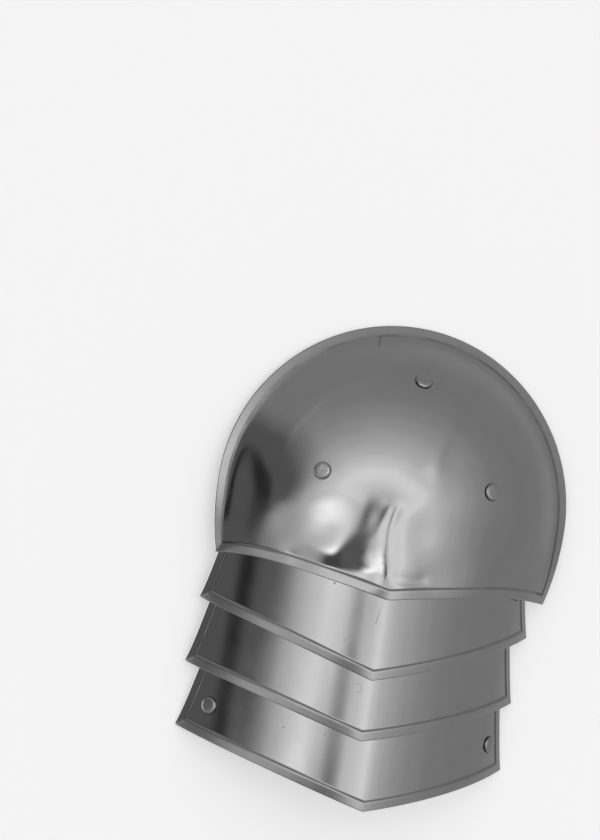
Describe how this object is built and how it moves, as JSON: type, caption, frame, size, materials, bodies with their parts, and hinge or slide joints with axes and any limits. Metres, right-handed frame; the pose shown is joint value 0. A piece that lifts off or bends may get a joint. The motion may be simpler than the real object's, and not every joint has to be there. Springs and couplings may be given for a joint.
{
  "type": "pauldron",
  "caption": "Plate pauldron: a domed cop over overlapping pointed lames with raised borders, riveted to leather strips on the hollow side; it guards the shoulder and upper arm.",
  "frame": {"origin": "middle of the bounding box in plan, on the surface that the part lies on", "axes": "+Z out of the shell, up as it lies hollow side down; +Y towards the neck, and the lames run down the arm towards -Y; +X to the right seen from above with the neck end up"},
  "size_m": [0.2228, 0.2934, 0.068],
  "materials": {
    "plate_steel": "polished by hand, bright, with soft reflections and fine scratches",
    "rivet_steel": "satin, hammered flat",
    "strip_leather": "dark brown strap leather, matt"
  },
  "bodies": {
    "root": {"shoulder_cop": "plate_steel", "lame_1": "plate_steel", "lame_2": "plate_steel", "lame_3": "plate_steel", "rivet_shoulder_cop_left": "rivet_steel", "rivet_shoulder_cop_centre": "rivet_steel", "rivet_shoulder_cop_right": "rivet_steel", "rivet_lame_1_left": "rivet_steel", "rivet_lame_1_centre": "rivet_steel", "rivet_lame_1_right": "rivet_steel", "rivet_lame_2_left": "rivet_steel", "rivet_lame_2_centre": "rivet_steel", "rivet_lame_2_right": "rivet_steel", "rivet_lame_3_left": "rivet_steel", "rivet_lame_3_centre": "rivet_steel", "rivet_lame_3_right": "rivet_steel", "leather_left": "strip_leather", "leather_centre": "strip_leather", "leather_right": "strip_leather"}
  },
  "joints": []
}
